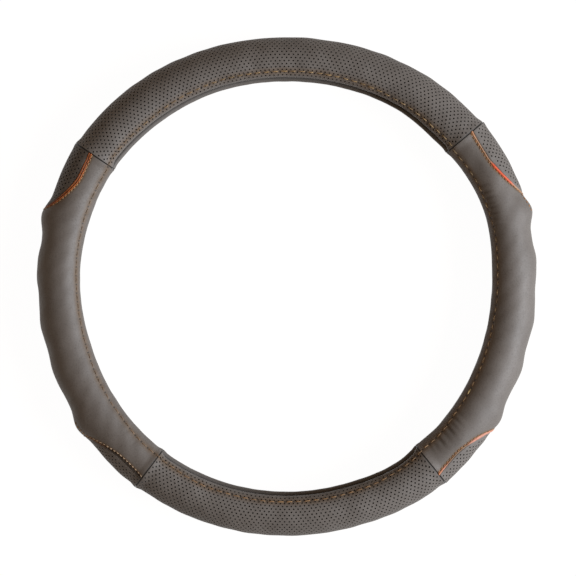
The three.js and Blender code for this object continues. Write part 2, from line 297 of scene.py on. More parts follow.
def add_piece(name, points, triangles, replaced, slot, marks):
    """Makes a mesh object of an array of points and an array of triangles, with the finish of its slot.
    Marks are arrays of a number or of a colour for each point, which the finish reads."""
    mesh = bpy.data.meshes.new(name)
    mesh.vertices.add(len(points))
    mesh.vertices.foreach_set("co", np.ascontiguousarray(points, np.float32).ravel())
    mesh.loops.add(triangles.size)
    mesh.loops.foreach_set("vertex_index", np.ascontiguousarray(triangles, np.int32).ravel())
    mesh.polygons.add(len(triangles))
    mesh.polygons.foreach_set("loop_start", np.arange(0, triangles.size, 3, dtype=np.int32))
    mesh.update(calc_edges=True)
    mesh.shade_smooth()
    mesh.set_sharp_from_angle(angle=sharp_edge)
    for mark, values in marks.items():
        kind, field = ("FLOAT_COLOR", "color") if np.ndim(values) == 2 else ("FLOAT", "value")
        carried = mesh.attributes.new(mark, kind, "POINT")
        carried.data.foreach_set(field, np.asarray(values, np.float32).ravel())
    mesh.materials.append(finishes[slot])
    piece = bpy.data.objects.new(name, mesh)
    bpy.context.scene.collection.objects.link(piece)
    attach(piece, "root")
    if replaced:
        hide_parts(replaced)
    piece_triangles[name] = len(triangles)
    print(name, len(points), "points,", len(triangles), "triangles")


# %% [markdown]
# A piece of leather is a sheet 1.3 mm thick, planned on a grid of two parameters, the angle round the
# ring and the path along the section. Its outer and inner faces are the same grid at two depths, and a
# wall joins them wherever the sheet ends. Grid points that a narrow outline squeezes together are made
# one.

# %% A thick sheet from a grid


def grid_quads(rows, columns):
    """The corner numbers of the cells of a grid whose points are numbered row after row."""
    i, j = np.meshgrid(np.arange(rows - 1), np.arange(columns - 1), indexing="ij")
    corner = (i * columns + j).ravel()
    return np.stack([corner, corner + columns, corner + columns + 1, corner + 1], axis=1)


def weld(parameters, quads):
    """Makes points with the same parameters one point, and renumbers the quads' corners to match."""
    unique, index = np.unique(np.round(parameters, 6), axis=0, return_inverse=True)
    return unique, index.ravel()[quads]


def triangles_of(quads):
    """Two triangles for each quad, or one or none where some of its corners are the same point."""
    halves = np.concatenate([quads[:, [0, 1, 2]], quads[:, [0, 2, 3]]])
    a, b, c = halves.T
    return halves[(a != b) & (b != c) & (c != a)]


def open_edges(triangles):
    """The edges that only one triangle has, each in that triangle's own direction."""
    edges = np.concatenate([triangles[:, [0, 1]], triangles[:, [1, 2]], triangles[:, [2, 0]]])
    size = edges.max() + 1
    forward = edges[:, 0].astype(np.int64) * size + edges[:, 1]
    backward = edges[:, 1].astype(np.int64) * size + edges[:, 0]
    return edges[~np.isin(forward, backward)]


# %% [markdown]
# A hole of the perforation is a blind pit with eight sides. The grid's cell around it keeps its four
# corners, an octagon stands in its middle, and the flat between them is twelve triangles. A texture could
# draw dark dots instead, but real pits catch the light on their far edge and close up as the surface
# turns away.

# %% Pits
pit_radius = 0.66 * MM
pit_depth = 0.9 * MM
pit_sides = 8
pit_corners = np.radians(22.5 + 45 * np.arange(pit_sides))
pit_waist = 0.86


def pit_faces(cells, first):
    """The triangles of many pits at once. Each has its cell's four corners, then a ring of eight points
    at the surface and a ring of eight at the bottom, numbered from its own first number."""
    ring = first[:, None] + np.arange(pit_sides)
    low = ring + pit_sides
    faces = []
    for k in range(4):
        c, after = cells[:, k], cells[:, (k + 1) % 4]
        a, b, d = (ring[:, (2 * k + turned) % pit_sides] for turned in (4, 5, 6))
        faces += [np.stack([c, b, a], 1), np.stack([c, after, d], 1), np.stack([c, d, b], 1)]
    for k in range(pit_sides):
        n = (k + 1) % pit_sides
        faces += [np.stack([ring[:, k], ring[:, n], low[:, n]], 1),
                  np.stack([ring[:, k], low[:, n], low[:, k]], 1)]
    for k in range(1, pit_sides - 1):
        faces.append(np.stack([low[:, 0], low[:, k], low[:, k + 1]], 1))
    return np.concatenate(faces)


# %% [markdown]
# Sewing shapes the leather. At a seam and along a crescent the edges are folded under, so they fall away
# in a quarter circle. A row of stitches near each lip draws the leather down, deepest where the thread
# goes in, and on the grips the slack between two stitches stands up in gathers, which run on in creases
# near the thumb rests. The whole skin is a little uneven, as leather pulled over rubber is.

# %% How sewing shapes the leather
piping_fold = 0.95 * MM
seam_fold = 0.6 * MM
seam_gap = 0.06 * MM
stitch_count = 152
stitch_step = 360 / stitch_count
stitch_start = 0.7
groove_depth = 0.28 * MM
groove_width = 1.0 * MM
groove_mean = 0.7
groove_wave = 0.3
gather_depth = 0.06 * MM
gather_from_row = 0.6 * MM
gather_width = 3.2 * MM
deep_gathers = [(22.5, 8, 0.14 * MM), (318, 9, 0.14 * MM), (205, 9, 0.10 * MM), (158, 7, 0.08 * MM)]
creases = [(16.4, 0.14), (18.1, 0.20), (19.6, 0.22), (21.2, 0.26), (22.4, 0.22), (23.8, 0.30), (25.4, 0.26),
           (27.2, 0.18), (311.9, 0.14), (313.3, 0.18), (315.2, 0.36), (317.2, 0.20), (318.9, 0.38),
           (320.4, 0.22), (322.0, 0.26), (323.8, 0.16), (226.0, 0.14), (222.4, 0.12), (155.0, 0.10),
           (159.2, 0.10)]
crease_radius = rim_line_radius - 6 * MM
crease_width = 1.3 * MM
crease_length = 15 * MM
crease_start = 1.2 * MM
crease_end = 3.5 * MM
crease_lean = 0.10
valleys = [(33, 9, 100, 42, 0.9 * MM), (315, 11, 98, 40, 0.7 * MM)]
unevenness = 0.055 * MM
ripple_size = 6 * MM
chance = np.random.default_rng(7)
ripples = [(chance.uniform(0.10, 0.5), chance.uniform(-0.35, 0.35), chance.uniform(0, 6.28))
           for _ in range(9)]


def fold_drop(distance, radius):
    """How far a folded edge has fallen at a distance from its end: a quarter circle of the fold's
    radius."""
    near = np.clip(1 - np.maximum(distance, 0) / radius, 0, 1)
    return radius * (1 - np.sqrt(1 - near * near))


def section_angle(angle, path):
    """The section angle of a point of the outside, from its path coordinate."""
    return path * lip_angle(angle, np.sign(path))


def past_row(angle, path):
    """The distance on the skin from the row of stitches, positive towards the lip."""
    side = np.sign(path)
    return np.radians(side * section_angle(angle, path) - row_angle(angle, side)) * skin_radius


def gathers(angle, path):
    """The groove of a stitch row is a bell curve across the row, deeper at each needle hole. Beside it
    the gathers are waves along the row, one to a stitch, that fade with the distance from the row."""
    past = past_row(angle, path)
    wave = np.cos(2 * np.pi * (angle - stitch_start) / stitch_step)
    groove = groove_depth * (groove_mean - groove_wave * wave) * np.exp(-((past / groove_width) ** 2))
    strength = (gather_depth + humps(deep_gathers, angle)) * grip_share(angle)
    return strength * wave * np.exp(-(((past - gather_from_row) / gather_width) ** 2)) - groove


def creased(angle, path):
    """Where the leather is gathered most, it lies in creases. Each is a bell curve along the ring, which
    starts at the front row, leans a little and fades away from it as the squared cosine."""
    past = past_row(angle, path)
    from_start = past + crease_start
    fading = hump(np.minimum(from_start, 0), crease_length) * hump(np.maximum(from_start, 0), crease_end)
    total = 0
    for middle, depth in creases:
        aside = np.radians(turn_from(middle, angle)) * crease_radius - crease_lean * past
        total = total + depth * MM * np.exp(-((aside / crease_width) ** 2))
    return total * fading * (path > 0) * grip_share(angle)


def flattened(angle, path):
    """Beside two of the crescents the leather is drawn flat between the piping and the row: a shallow
    valley, as the product of a hump along the ring and one round the section."""
    phi = section_angle(angle, path)
    return sum(depth * hump(turn_from(middle, angle), half) * hump(phi - at, spread) * grip_share(angle)
               for middle, half, at, spread, depth in valleys)


def uneven(angle, path):
    """Shallow waves in many directions: a sum of cosines of the distances along and across the ring."""
    u = np.radians(angle) * ring_radius / ripple_size
    v = np.radians(section_angle(angle, path)) * skin_radius / ripple_size
    total = sum(np.cos(6.28 * (p * u + q * v) + start) for p, q, start in ripples)
    return unevenness * total * np.clip(3 - 2 * np.abs(path), 0, 1)


def seam_distance(angle):
    """The distance along the ring to the nearest seam, less half the gap between the two folded edges."""
    turns = [np.abs(turn_from(corner["seam"], angle)) for corner in corners.values()]
    return np.radians(np.min(turns, axis=0)) * ring_radius - seam_gap / 2


def sewn_lift(angle, path):
    """All that sewing does to a panel: the unevenness and the gathers, less the creases, the valleys and
    the fold at its seams."""
    return (uneven(angle, path) + gathers(angle, path) - creased(angle, path) - flattened(angle, path)
            - fold_drop(seam_distance(angle), seam_fold))


print("stitches round a row:", stitch_count, "creases:", len(creases))

# %% [markdown]
# A thick sheet is put together here from a grid, the cells that hold a pit and a function for the lift.
# Its marks tell the finish where it is: in a pit, how many stitches along the row, how far from the row
# and from a seam, and how near to the dye of the piping. One more holds the painted shade of the creases,
# the valleys and a shaded insert.

# %% A sheet of leather
turn_shares = np.linspace(0, 1, 8)[1:]
wrap_paths = np.concatenate([1 + turn_shares, [2.5, 3]])
seam_rows = seam_gap / 2 + np.array([0, 0.08, 0.22, 0.42, 0.66, 1.2]) * MM
valley_shade = 0.2


def pit_points(centres, lift):
    """The points of many pits: an octagon at the surface, and a smaller one at the pit's depth."""
    angle, path = centres[:, :1], centres[:, 1:]
    lip = lip_angle(angle, np.sign(path))
    rho = line_radius(angle) + skin_radius * np.cos(np.radians(path * lip))
    wide = np.degrees(pit_radius / rho) * np.cos(pit_corners)
    tall = np.degrees(pit_radius / skin_radius) * np.sin(pit_corners) / lip
    rings = [leather_point(angle + share * wide, path + share * tall,
                           lift(angle + share * wide, path + share * tall), depth)
             for share, depth in ((1, 0.0), (pit_waist, pit_depth))]
    return np.concatenate(rings, axis=1).reshape(-1, 3)


def leather_sheet(node, grid, lift, slot, dyed=None, insert_shade=0.0):
    """Makes a closed sheet: the outer face with its pits, the inner face, and a wall along every open
    edge. Dyed is a function that says how near the piping's dye is. The last argument darkens the whole
    piece: painted shade on an insert that faces away from the light."""
    parameters, quads = weld(*grid[:2])
    pierced = grid[2]
    cells = quads[pierced]
    plain = triangles_of(quads[~pierced])
    face = np.concatenate([plain, triangles_of(cells)])
    angle, path = parameters.T
    outer = leather_point(angle, path, lift(angle, path))
    centres = parameters[cells].mean(axis=1)
    pits = pit_points(centres, lift) if len(cells) else np.zeros((0, 3))
    below = len(outer) + len(pits)
    faces = [plain, face[:, ::-1] + below]
    if len(cells):
        faces.append(pit_faces(cells, len(outer) + 2 * pit_sides * np.arange(len(cells))))
    a, b = open_edges(face).T
    faces += [np.stack([b, a, a + below], 1), np.stack([b, a + below, b + below], 1)]
    in_pits = np.arange(len(pits)) % (2 * pit_sides) >= pit_sides
    middles = np.repeat(centres, 2 * pit_sides, axis=0).reshape(-1, 2)
    all_angles, all_paths = np.concatenate([parameters, middles, parameters]).T
    # Painted shade: the finish darkens the leather in its creases and, by a share of their depth, in the
    # flattened valleys.
    painted_shade_amount = creased(all_angles, all_paths) + valley_shade * flattened(all_angles, all_paths)
    marks = {
        "pit": np.concatenate([np.zeros(len(outer)), in_pits, np.zeros(len(outer))]),
        "stitch": (all_angles - stitch_start) / stitch_step,
        "past": past_row(all_angles, all_paths) / MM,
        "seam": seam_distance(all_angles) / MM,
        # Painted shade over a whole insert that faces away from the light.
        "painted_shade": painted_shade_amount / MM + insert_shade,
    }
    if dyed:
        marks["dyed"] = dyed(all_angles, all_paths)
    points = np.concatenate([outer, pits, leather_point(angle, path, depth=leather)])
    print(node, "has", len(cells), "holes")
    add_piece(node + "_leather", points, np.concatenate(faces), node, slot, marks)


# %% [markdown]
# Finishes are built from nodes. A small class stands for one socket, so that a sum of masks and noises
# can be written as plain arithmetic, and every other node comes from one method that takes its type, its
# settings and its inputs.

# %% A socket with arithmetic


def arithmetic(operation, swapped=False):
    """A method that adds one Math node for a wire and another value, in this order or swapped."""

    def method(self, other):
        return self.math(operation, *((other, self) if swapped else (self, other)))

    return method


class Wire:
    """One output socket. Arithmetic on it adds Math nodes to its tree."""

    def __init__(self, tree, socket):
        self.tree = tree
        self.socket = socket

    def math(self, operation, *values):
        """Adds a Math node of an operation with these values, and returns its output."""
        node = self.tree.nodes.new("ShaderNodeMath")
        node.operation = operation
        for socket, value in zip(node.inputs, values):
            join(self.tree, value, socket)
        return Wire(self.tree, node.outputs[0])

    def absolute(self):
        """The value without its sign."""
        return self.math("ABSOLUTE", self)

    def cosine(self):
        """The cosine of the value, an angle in radians."""
        return self.math("COSINE", self)

    __add__ = __radd__ = arithmetic("ADD")
    __sub__ = arithmetic("SUBTRACT")
    __rsub__ = arithmetic("SUBTRACT", swapped=True)
    __mul__ = __rmul__ = arithmetic("MULTIPLY")
    __pow__ = arithmetic("POWER")
    minimum = arithmetic("MINIMUM")
    maximum = arithmetic("MAXIMUM")


def join(tree, value, socket):
    """Links a wire to an input socket, or sets a plain number, colour or vector on it."""
    if isinstance(value, Wire):
        tree.links.new(value.socket, socket)
    else:
        socket.default_value = value


class Finish:
    """A material under construction, with its Principled shader and its object coordinates at hand."""

    def __init__(self, name):
        self.material = bpy.data.materials.new(name)
        self.material.use_nodes = True
        self.tree = self.material.node_tree
        self.shader = self.tree.nodes["Principled BSDF"]
        self.place = self.node("ShaderNodeTexCoord", output="Object")

    def node(self, kind, settings=None, inputs=None, output=0):
        """Adds a node of a type, sets its settings and then its inputs, and returns one of its
        outputs."""
        node = self.tree.nodes.new(kind)
        for key, value in (settings or {}).items():
            setattr(node, key, value)
        for key, value in (inputs or {}).items():
            join(self.tree, value, node.inputs[key])
        return Wire(self.tree, node.outputs[output])

    def noise(self, size, detail=3.0):
        """Cloudy noise from about 0.25 to 0.75, with clouds of a size in metres."""
        return self.node("ShaderNodeTexNoise", inputs={
            "Vector": self.place, "Scale": 1 / size, "Detail": detail, "Roughness": 0.55})

    def cells(self, size):
        """The distance inside cells of a size in metres, 0 at each cell's heart and growing to its
        edge."""
        return self.node("ShaderNodeTexVoronoi", {"feature": "SMOOTH_F1"},
                         {"Vector": self.place, "Scale": 1 / size}, "Distance")

    def mark(self, name, output="Fac"):
        """A number or a colour that the mesh carries at each point."""
        return self.node("ShaderNodeAttribute", {"attribute_name": name}, output=output)

    def spread(self, wire, low, high):
        """Maps the stretch from low to high onto 0 to 1, and holds it there."""
        return self.node("ShaderNodeMapRange", {"clamp": True}, {0: wire, 1: low, 2: high})

    def blend(self, share, first, second, how="MIX"):
        """A colour between two colours, or with another blend type their product."""
        return self.node("ShaderNodeMix", {"data_type": "RGBA", "blend_type": how},
                         {0: share, 6: first, 7: second}, 2)

    def bump(self, height, distance):
        """Tilts the surface as if it had this height, in units of a distance in metres."""
        return self.node("ShaderNodeBump", inputs={"Height": height, "Distance": distance, "Strength": 1.0})

    def set(self, **values):
        """Sets or links the shader's inputs, named as they are with underscores for spaces."""
        for key, value in values.items():
            join(self.tree, value, self.shader.inputs[key.replace("_", " ")])
        return self.material


print("materials before the finishes:", len(bpy.data.materials))

# %% [markdown]
# The leather is warm grey with a soft satin gloss. Its grain is a network of fine creases between small
# pebbles, under a millimetre across, with a finer tooth over it, and its colour wanders a little. Holes
# go nearly black towards their bottom: black rubber under the hole, and painted shade on the pit's walls.
# The marks paint shade as a dark needle hole between two stitches, on the folded edges in a seam's groove,
# in the creases and valleys and over one insert, and stain the leather with the dye of the thread and the
# piping.

# %% Leather
# Near black for pits, needle holes and seams: the black rubber under a pit, and painted shade on pit walls,
# in needle holes and in seam grooves.
hole_black_and_shade = (0.006, 0.005, 0.004, 1)
dye = (0.120, 0.068, 0.026, 1)
# The colour of the painted shade in creases, valleys and a shaded insert.
painted_shade_dark = (0.038, 0.028, 0.020, 1)


def leather_finish(name, dark, light, pebble, depth, gloss):
    """A grained leather: pebbles parted by creases, a fine tooth, clouds of colour, the dye beside the
    stitches and the piping, and painted shade in holes, seam grooves, creases, valleys and a shaded insert."""
    f = Finish(name)
    clouds = f.spread(f.noise(22 * MM, 4.0), 0.35, 0.65)
    mottle = f.spread(f.noise(2.4 * MM), 0.3, 0.7)
    pebbles = f.spread(f.cells(pebble), 0.0, 0.75)
    tooth = f.noise(0.28 * MM, 2.0)
    colour = f.blend((clouds * 0.6 + mottle * 0.4).minimum(1.0), (*dark, 1), (*light, 1))
    grained = f.blend(pebbles ** 3 * 0.35, colour, (*[0.45 * v for v in dark], 1))
    across = f.mark("past").absolute()
    stain = (f.spread(4.5 - across, 0.0, 4.5) * (0.30 + 0.45 * clouds)).maximum(f.mark("dyed") * 0.8)
    # Painted shade: darker in the creases, the valleys and over a shaded insert.
    shaded = f.blend(f.spread(f.mark("painted_shade"), 0.03, 0.34) * 0.75, grained, painted_shade_dark)
    between = f.spread((f.mark("stitch") * (2 * math.pi)).cosine() * -1.0, 0.70, 0.97)
    # Painted shade: a near-black spot for the needle hole between two stitches.
    hole = between * f.spread(1.2 - across, 0.0, 0.7)
    # Painted shade: near black along the groove where two folded edges meet at a seam.
    seam_groove_shade = f.spread(0.85 - f.mark("seam"), 0.0, 0.40)
    # Pits go near black from a third of their depth: black rubber at the bottom, painted shade on the
    # walls.
    pit = f.spread(f.mark("pit"), 0.0, 0.30).maximum(hole * 0.8).maximum(seam_groove_shade * 0.85)
    return f.set(
        Base_Color=f.blend(pit, f.blend(stain, shaded, dye), hole_black_and_shade),
        Roughness=(gloss + mottle * 0.08 + pebbles * 0.06).minimum(1.0),
        Normal=f.bump((1 - pebbles ** 2) * 0.8 + tooth * 0.35, depth),
        Specular_IOR_Level=0.5,
    )


finishes["smooth_leather"] = leather_finish("smooth leather", (0.118, 0.106, 0.097), (0.150, 0.136, 0.125),
                                            0.8 * MM, 0.035 * MM, 0.50)
finishes["perforated_leather"] = leather_finish("perforated leather", (0.120, 0.110, 0.102),
                                                (0.156, 0.144, 0.134), 0.7 * MM, 0.05 * MM, 0.54)
print("leather finishes:", list(finishes))

# %% [markdown]
# The piping and the thread were dyed by hand and have worn since, so each mesh carries its own colour
# from place to place, and the finish only breaks it up a little; where the cord lies hidden in a gap, its
# colour is near black, painted shade. The rubber is matt black.

# %% Piping, thread and rubber


def broken_finish(name, size, depth, roughness, level, tint=None):
    """A finish that breaks a colour up in clouds of a size, with a fine tooth. Without a tint, the colour
    is the one that the mesh carries."""
    f = Finish(name)
    clouds = f.spread(f.noise(size), 0.3, 0.7)
    plain = f.mark("tint", "Color") if tint is None else (*tint, 1)
    darker = f.blend(1.0, plain, (0.66, 0.58, 0.50, 1), "MULTIPLY")
    return f.set(
        Base_Color=f.blend(clouds, darker, plain),
        Roughness=roughness + clouds * 0.12,
        Normal=f.bump(f.noise(size / 8, 2.0), depth),
        Specular_IOR_Level=level,
    )


finishes["piping_leather"] = broken_finish("piping leather", 2.5 * MM, 0.05 * MM, 0.42, 0.4)
finishes["thread"] = broken_finish("dyed thread", 1.2 * MM, 0.04 * MM, 0.55, 0.3)
finishes["rubber"] = broken_finish("black rubber", 6 * MM, 0.04 * MM, 0.62, 0.25, (0.011, 0.011, 0.012))
print("finishes:", len(finishes))

# %% [markdown]
# The two perforated panels run from seam to seam over the top and the bottom. Every second cell of the
# grid has a hole, so the rows are staggered: a row's holes are 1.14 degrees apart and the next row's lie
# between them. The last millimetre before a seam is plain, because the fold would close a hole there.

# %% Perforated panels
hole_step = 0.57
hole_rows = 18


def staggered(cells):
    """Keeps every second of an array of cells, as on a chessboard, and lays them in one row."""
    i, j = np.indices(cells.shape)
    return (cells & ((i + j) % 2 == 0)).ravel()


def panel_grid(first, last):
    """The grid of a panel: its angles and paths, its quads, and which of them have a hole."""
    margin = along(seam_rows)
    whole = span_of(first, last)
    count = int(round((whole - 2 * margin[-1]) / hole_step))
    inner = np.linspace(margin[-1], whole - margin[-1], count + 1)
    into = np.concatenate([margin[:-1], inner, whole - margin[:-1][::-1]])
    outside = np.arange(-hole_rows, hole_rows + 1) / hole_rows
    paths = np.concatenate([-wrap_paths[::-1], outside, wrap_paths])
    angle, path = np.meshgrid(corners[first]["seam"] + into, paths, indexing="ij")
    free = np.zeros((len(into) - 1, len(paths) - 1), bool)
    edge, wrap = len(margin) - 1, len(wrap_paths)
    free[edge:edge + count, wrap:wrap + 2 * hole_rows] = True
    return np.stack([angle.ravel(), path.ravel()], 1), grid_quads(len(into), len(paths)), staggered(free)


for name, ends in panels.items():
    leather_sheet(name, panel_grid(*ends), sewn_lift, "perforated_leather")

# %% [markdown]
# A crescent's outline is wanted by three pieces: the insert inside it, the grip outside it and the piping
# on it. Near the seam it is a parabola. Past its widest place it falls to the tip as the cosine of a
# quarter turn, while the reach grows as the sine to the power of four thirds, which gives the pointed
# tip. The piping's half width and colour change along the outline, because the cord was sewn in more or
# less deep and has worn. Where the cord lies hidden in a gap at the lower left, its colour is near black:
# painted shade.

# %% The outline of a crescent
widest_at = 0.4
draw_in = 5
near_samples = 22
tip_samples = 44
way = np.linspace(0, 1, near_samples + tip_samples - 1)
near_by = 2
far_away = 1.0
tan = (0.46, 0.29, 0.19)
worn_tan = (0.27, 0.18, 0.12)
orange = (0.42, 0.125, 0.028)
orange_red = (0.76, 0.13, 0.055)
salmon = (0.62, 0.29, 0.21)
# Painted shade: near black for the cord where it lies hidden in a gap.
painted_gap_shade = (0.034, 0.024, 0.016)
cords = {
    "upper_right": [(0, 0.9, (0.50, 0.24, 0.12)), (0.10, 0.7, tan), (0.25, 0.6, tan), (0.40, 0.65, tan),
                    (0.45, 1.0, orange_red), (0.68, 1.0, orange_red), (0.76, 0.75, tan),
                    (1, 0.7, worn_tan)],
    "upper_left": [(0, 1.5, orange), (0.4, 1.5, orange), (0.7, 1.35, orange), (0.85, 1.0, orange),
                   (1, 0.8, worn_tan)],
    "lower_left": [(0, 0.9, painted_gap_shade), (0.55, 0.8, painted_gap_shade), (0.70, 0.7, (0.20, 0.10, 0.050)),
                   (0.85, 0.8, worn_tan), (1, 0.8, (0.24, 0.12, 0.060))],
    "lower_right": [(0, 0.9, (0.56, 0.25, 0.13)), (0.10, 0.8, salmon), (0.22, 0.65, worn_tan),
                    (0.50, 0.7, worn_tan), (0.60, 1.0, salmon), (0.70, 1.35, salmon), (0.92, 1.3, salmon),
                    (1, 1.0, tan)],
}


def outline(name, side, outset=0.0):
    """The outline of a crescent in front, side 1, or behind, -1, from its seam to its tip: the angle into
    the grip and the section angle. The outset moves it outwards on the skin, and may change along the
    way."""
    corner = corners[name]
    spread = corner["spread"] if side > 0 else back_spread
    share = np.linspace(0, widest_at, near_samples)[:-1]
    w = np.linspace(0, np.pi / 2, tip_samples)
    into = np.concatenate([share, widest_at + (1 - widest_at) * np.sin(w) ** (4 / 3)]) * corner["reach"]
    drawn = ((widest_at - share) / widest_at) ** 2
    phi = np.concatenate([spread - draw_in * drawn, spread * np.cos(w)])
    u, v = np.radians(into) * ring_radius, np.radians(phi) * skin_radius
    du, dv = np.gradient(u), np.gradient(v)
    du[-1], dv[-1] = 0, -1
    length = np.hypot(du, dv)
    u, v = u - outset * dv / length, v + outset * du / length
    return np.degrees(u / ring_radius), np.degrees(np.maximum(v, 0) / skin_radius)


def laid_flat(into, phi):
    """Points on the skin laid flat, in metres along the ring and round the section."""
    return np.stack([np.radians(into) * ring_radius, np.radians(phi) * skin_radius], 1)


def walked_along(line):
    """The distance walked along a flat line, from its start to each of its points."""
    return np.concatenate([[0], np.cumsum(np.linalg.norm(np.diff(line, axis=0), axis=1))])


def cord_half_width(name):
    """Half the width that the piping shows along the way."""
    places, widths, _ = zip(*cords[name])
    return np.interp(way, places, widths) * MM


def cord_tint(name):
    """The colour of the piping along the way, a row of red, green, blue and 1 for each sample."""
    places, _, colours = zip(*cords[name])
    channels = [np.interp(way, places, channel) for channel in zip(*colours)]
    return np.stack(channels + [np.ones(len(way))], axis=1)


def outline_distance(name, outset, angle, path):
    """The distance on the skin from each point to a crescent's outline: the shortest way to any stretch
    between two of its samples. Points that aren't nearby get one large distance."""
    angle, path = np.broadcast_arrays(angle, path)
    grip_into = turn_from(corners[name]["seam"], angle.ravel()) * corners[name]["side"]
    outside = section_angle(angle, np.clip(path, -1, 1)).ravel()
    near = (grip_into > -near_by) & (grip_into < corners[name]["reach"] + near_by)
    p = laid_flat(grip_into, outside)[near]
    best = np.full(len(p), far_away)
    for side in (-1, 1):
        into, phi = outline(name, side, outset)
        line = laid_flat(into, side * phi)
        for s, e in zip(line[:-1], np.diff(line, axis=0)):
            t = np.clip((p - s) @ e / max(e @ e, 1e-18), 0, 1)
            best = np.minimum(best, np.linalg.norm(p - s - t[:, None] * e, axis=1))
    distance = np.full(len(grip_into), far_away)
    distance[near] = best
    return distance.reshape(angle.shape)


for name in corners:
    lengths = [round(float(walked_along(laid_flat(*outline(name, side)))[-1]) / MM, 1) for side in (1, -1)]
    print(name, "outline is", lengths[0], "mm in front and", lengths[1], "mm behind")

# %% [markdown]
# Each insert is a crescent of perforated leather inside its outline. Its rows of holes are as far apart
# as the panel's, and stop before the folded edge. Some have a little padding below, so they stand up
# inside the piping like a small cushion.

# %% Perforated inserts
row_step = 7.4
row_numbers = np.arange(-9, 13)
fold_margin = 2.7
edge_margin = fold_margin / 2.6
least_spread = 8
least_step = 0.12
pad_edge = 3 * MM
tuck = 0.9


def path_of(angle, phi):
    """The path coordinate of a section angle on the outside."""
    return phi / lip_angle(angle, np.sign(phi))


def insert_lift(name):
    """The lift of an insert: what sewing does, a fold along the piping, and padding that grows away from
    it."""

    def lift(angle, path):
        edge = outline_distance(name, -tuck * cord_half_width(name), angle, path)
        padding = corners[name]["pad"] * (1 - np.exp(-edge / pad_edge))
        return sewn_lift(angle, path) - fold_drop(edge, piping_fold) + padding

    return lift


def edges_at(name, columns, outset):
    """The section angles of a crescent's edges behind and in front, at angles into the grip, and 0 past
    its tip."""
    return [np.interp(columns, *outline(name, side, outset), right=0)[:, None] for side in (-1, 1)]


def insert_grid(name):
    """The grid of an insert: columns at even angles and then at the outline's own samples, rows at even
    section angles held inside the outline."""
    corner = corners[name]
    tucked = -tuck * cord_half_width(name)
    into, phi = outline(name, 1, tucked)
    margin = along(seam_rows)
    even = np.arange(margin[-1] + hole_step, corner["reach"], hole_step)
    even = even[np.interp(even, into, phi) > least_spread]
    columns = np.concatenate([margin, even, into[into > even[-1] + least_step]])
    back, front = edges_at(name, columns, tucked)
    rows = row_step * row_numbers[None, :]
    held = np.clip(rows, -np.maximum(back - fold_margin, 0), np.maximum(front - fold_margin, 0))
    back_step, front_step = (np.maximum(edge - edge_margin, 0) for edge in (back, front))
    section = np.concatenate([-back, -back_step, held, front_step, front], axis=1)
    free = np.zeros(section.shape, bool)
    free[:, 2:-2] = (rows >= fold_margin - back - 1e-6) & (rows <= front - fold_margin + 1e-6)
    free[:len(margin) - 1] = False
    whole = free[:-1, :-1] & free[1:, :-1] & free[1:, 1:] & free[:-1, 1:]
    angle = np.repeat((corner["seam"] + corner["side"] * columns)[:, None], section.shape[1], axis=1)
    parameters = np.stack([angle.ravel(), path_of(angle, section).ravel()], 1)
    quads = grid_quads(*section.shape)
    if corner["side"] < 0:
        quads = quads[:, [1, 0, 3, 2]]
    return parameters, quads, staggered(whole)


# The upper left insert is darkened all over: painted shade, as it faces away from the light.
for name, corner in corners.items():
    leather_sheet(name + "_insert", insert_grid(name), insert_lift(name), "perforated_leather",
                  insert_shade=corner["insert_shade"])

# %% [markdown]
# A grip is one smooth sheet with a crescent cut out of each end. It is planned as a front half and a back
# half that meet on the outermost line where there is no crescent. Its rows stay level: a row that would
# run into a crescent waits at its edge. Rows squeezed between the edge and the lip would be simpler, but
# they shear the triangles at the tip, and that shows as a crease.

# %% Smooth grips
fold_steps = np.array([0, 0.2, 0.45, 0.8, 1.3]) * MM
even_rows = np.linspace(0, 1, 56)[1:]
grip_step = 0.36
tip_columns = 1.6 * (np.arange(9) / 8) ** 2
past_tip = along(np.array([0.25, 0.55, 0.95]) * MM)
dye_reach = 2.4 * MM
dye_fading = 0.7


def grip_columns(name):
    """The angles into the grip from one seam to just past the crescent's tip, closer together where the
    outline turns."""
    tip = outline(name, 1, tuck * cord_half_width(name))[0][-1]
    margin = along(seam_rows)
    even = np.linspace(margin[-1], tip - tip_columns[-1], int(corners[name]["reach"] / grip_step))
    return np.concatenate([margin[:-1], even[:-1], tip - tip_columns[::-1], tip + past_tip])


def grip_grid(first, last):
    """The grid of a grip: the columns of both ends and even angles between them."""
    whole = span_of(first, last)
    near, far = grip_columns(first), whole - grip_columns(last)[::-1]
    middle = np.linspace(near[-1], far[0], int((far[0] - near[-1]) / grip_step) + 1)[1:-1]
    into = np.concatenate([near, middle, far])
    ends = [edges_at(name, place, tuck * cord_half_width(name))
            for name, place in ((first, into), (last, whole - into))]
    angle = corners[first]["seam"] + into
    parts = []
    for k, side in enumerate((-1, 1)):
        lip = lip_angle(angle, side)
        folds = np.maximum(ends[0][k], ends[1][k]) + np.degrees(fold_steps / skin_radius)[None, :]
        rest = np.maximum(lip[:, None] * even_rows, folds[:, -1:])
        outside = side * np.concatenate([folds, rest], axis=1) / lip[:, None]
        wrap = np.repeat(side * wrap_paths[None, :], len(angle), axis=0)
        path = np.concatenate([outside, wrap], axis=1)[:, ::side]
        parameters = np.stack([np.repeat(angle[:, None], path.shape[1], axis=1).ravel(), path.ravel()], 1)
        parts.append((parameters, grid_quads(*path.shape)))
    parameters = np.concatenate([parts[0][0], parts[1][0]])
    quads = np.concatenate([parts[0][1], parts[1][1] + len(parts[0][0])])
    return parameters, quads, np.zeros(len(quads), bool)


def grip_lift(names):
    """The lift of a grip: what sewing does, and a fold along the piping of its crescents."""

    def lift(angle, path):
        total = sewn_lift(angle, path)
        for name in names:
            edge = outline_distance(name, tuck * cord_half_width(name), angle, path)
            total = total - fold_drop(edge, piping_fold)
        return total

    return lift


